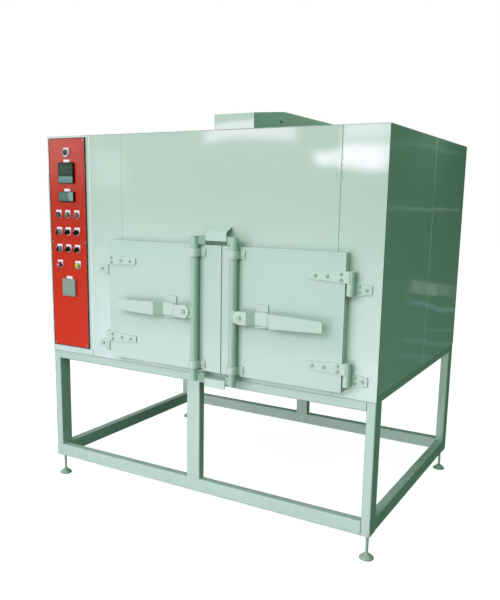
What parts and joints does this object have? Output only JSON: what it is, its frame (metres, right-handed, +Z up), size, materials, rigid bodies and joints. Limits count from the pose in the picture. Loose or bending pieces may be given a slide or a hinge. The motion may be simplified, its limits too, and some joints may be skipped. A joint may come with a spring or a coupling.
{
  "type": "drying oven",
  "caption": "Industrial drying oven on a tube stand, with two side-hinged doors, vertical lock bars with swing levers, a red control panel and a roof duct housing.",
  "frame": {"origin": "on the floor, under the middle of the whole oven's outer box", "axes": "+X to the right along the front as seen from the front, +Y to the back, +Z up"},
  "size_m": [1.72, 1.3156, 1.7983],
  "materials": {
    "mint_paint": "gloss enamel, pale mint green",
    "red_paint": "satin enamel, orange red",
    "bare_steel": "cold rolled sheet and rod, satin",
    "zinc_plate": "zinc plated",
    "insulation": "mineral wool behind thin steel sheet",
    "motor_paint": "cast housing, grey paint",
    "seal_rubber": "soft silicone strip",
    "black_plastic": "moulded, fine texture",
    "grey_plastic": "moulded",
    "magenta_plastic": "gloss",
    "green_plastic": "gloss"
  },
  "bodies": {
    "cabinet": {"stand_left_frame": "mint_paint", "stand_right_frame": "mint_paint", "stand_front_member": "mint_paint", "stand_rear_member": "mint_paint", "foot_front_left": "zinc_plate", "foot_front_right": "zinc_plate", "foot_rear_left": "zinc_plate", "foot_rear_right": "zinc_plate", "base_pan": "mint_paint", "skin_left": "mint_paint", "skin_right": "mint_paint", "front_post": "mint_paint", "front_lintel": "mint_paint", "back_panel": "mint_paint", "back_cover": "mint_paint", "roof_panel": "mint_paint", "duct_housing": "mint_paint", "insulated_chamber": "insulation", "air_guide": "bare_steel", "shelf_lower": "bare_steel", "shelf_upper": "bare_steel", "heater_bank": "bare_steel", "fan_motor": "motor_paint", "door_seal": "seal_rubber", "hinge_leaf_left_lower": "mint_paint", "hinge_leaf_left_upper": "mint_paint", "hinge_leaf_right_lower": "mint_paint", "hinge_leaf_right_upper": "mint_paint", "keeper_upper": "mint_paint", "keeper_lower": "mint_paint", "control_panel": "red_paint", "temperature_controller": "black_plastic", "process_timer": "black_plastic", "switch_cover": "grey_plastic"},
    "door_left": {"door_left": "mint_paint", "door_plug_left": "insulation", "hinge_strap_left_lower": "mint_paint", "hinge_strap_left_upper": "mint_paint", "bar_guide_left_lower": "mint_paint", "bar_guide_left_upper": "mint_paint"},
    "lock_bar_left": {"lock_bar_left": "mint_paint"},
    "lock_lever_left": {"lock_lever_left": "mint_paint"},
    "door_right": {"door_right": "mint_paint", "door_plug_right": "insulation", "hinge_strap_right_lower": "mint_paint", "hinge_strap_right_upper": "mint_paint", "bar_guide_right_lower": "mint_paint", "bar_guide_right_upper": "mint_paint"},
    "lock_bar_right": {"lock_bar_right": "mint_paint"},
    "lock_lever_right": {"lock_lever_right": "mint_paint"},
    "fan_wheel": {"fan_wheel": "bare_steel"},
    "main_switch": {"main_switch": "grey_plastic"},
    "selector_1": {"selector_1": "black_plastic"},
    "selector_2": {"selector_2": "black_plastic"},
    "selector_3": {"selector_3": "black_plastic"},
    "selector_4": {"selector_4": "black_plastic"},
    "selector_5": {"selector_5": "black_plastic"},
    "selector_6": {"selector_6": "black_plastic"},
    "push_button_1": {"push_button_1": "magenta_plastic"},
    "push_button_2": {"push_button_2": "green_plastic"}
  },
  "joints": [
    {"name": "door_left_swing", "type": "hinge", "parent": "cabinet", "child": "door_left", "pos_m": [-0.455, -0.5942, 0.9665], "axis": [0, 0, -1], "range_deg": [0, 120]},
    {"name": "door_right_swing", "type": "hinge", "parent": "cabinet", "child": "door_right", "pos_m": [0.735, -0.5942, 0.9665], "axis": [0, 0, 1], "range_deg": [0, 120]},
    {"name": "lock_bar_left_turn", "type": "hinge", "parent": "door_left", "child": "lock_bar_left", "pos_m": [0.047, -0.6262, 0.964], "axis": [0, 0, 1], "range_deg": [0, 90]},
    {"name": "lock_bar_right_turn", "type": "hinge", "parent": "door_right", "child": "lock_bar_right", "pos_m": [0.239, -0.6262, 0.964], "axis": [0, 0, -1], "range_deg": [0, 90]},
    {"name": "lock_lever_left_lift", "type": "hinge", "parent": "lock_bar_left", "child": "lock_lever_left", "pos_m": [0.005, -0.6475, 0.952], "axis": [0, 1, 0], "range_deg": [0, 30]},
    {"name": "lock_lever_right_lift", "type": "hinge", "parent": "lock_bar_right", "child": "lock_lever_right", "pos_m": [0.281, -0.6475, 0.952], "axis": [0, -1, 0], "range_deg": [0, 30]},
    {"name": "fan_spin", "type": "hinge", "parent": "cabinet", "child": "fan_wheel", "pos_m": [0.1375, 0.07713, 1.149], "axis": [0, 0, 1], "continuous": true},
    {"name": "main_switch_turn", "type": "hinge", "parent": "cabinet", "child": "main_switch", "pos_m": [-0.7205, -0.5842, 1.632], "axis": [0, 1, 0], "range_deg": [0, 90]},
    {"name": "selector_1_turn", "type": "hinge", "parent": "cabinet", "child": "selector_1", "pos_m": [-0.778, -0.5842, 1.2595], "axis": [0, 1, 0], "range_deg": [-45, 45]},
    {"name": "selector_2_turn", "type": "hinge", "parent": "cabinet", "child": "selector_2", "pos_m": [-0.7205, -0.5842, 1.2595], "axis": [0, 1, 0], "range_deg": [-45, 45]},
    {"name": "selector_3_turn", "type": "hinge", "parent": "cabinet", "child": "selector_3", "pos_m": [-0.663, -0.5842, 1.2595], "axis": [0, 1, 0], "range_deg": [-45, 45]},
    {"name": "selector_4_turn", "type": "hinge", "parent": "cabinet", "child": "selector_4", "pos_m": [-0.778, -0.5842, 1.178], "axis": [0, 1, 0], "range_deg": [-45, 45]},
    {"name": "selector_5_turn", "type": "hinge", "parent": "cabinet", "child": "selector_5", "pos_m": [-0.7205, -0.5842, 1.178], "axis": [0, 1, 0], "range_deg": [-45, 45]},
    {"name": "selector_6_turn", "type": "hinge", "parent": "cabinet", "child": "selector_6", "pos_m": [-0.663, -0.5842, 1.178], "axis": [0, 1, 0], "range_deg": [-45, 45]},
    {"name": "push_button_1_press", "type": "slide", "parent": "cabinet", "child": "push_button_1", "axis": [0, 1, 0], "range_m": [0, 0.004], "stiffness_N_per_m": 400},
    {"name": "push_button_2_press", "type": "slide", "parent": "cabinet", "child": "push_button_2", "axis": [0, 1, 0], "range_m": [0, 0.004], "stiffness_N_per_m": 400}
  ]
}
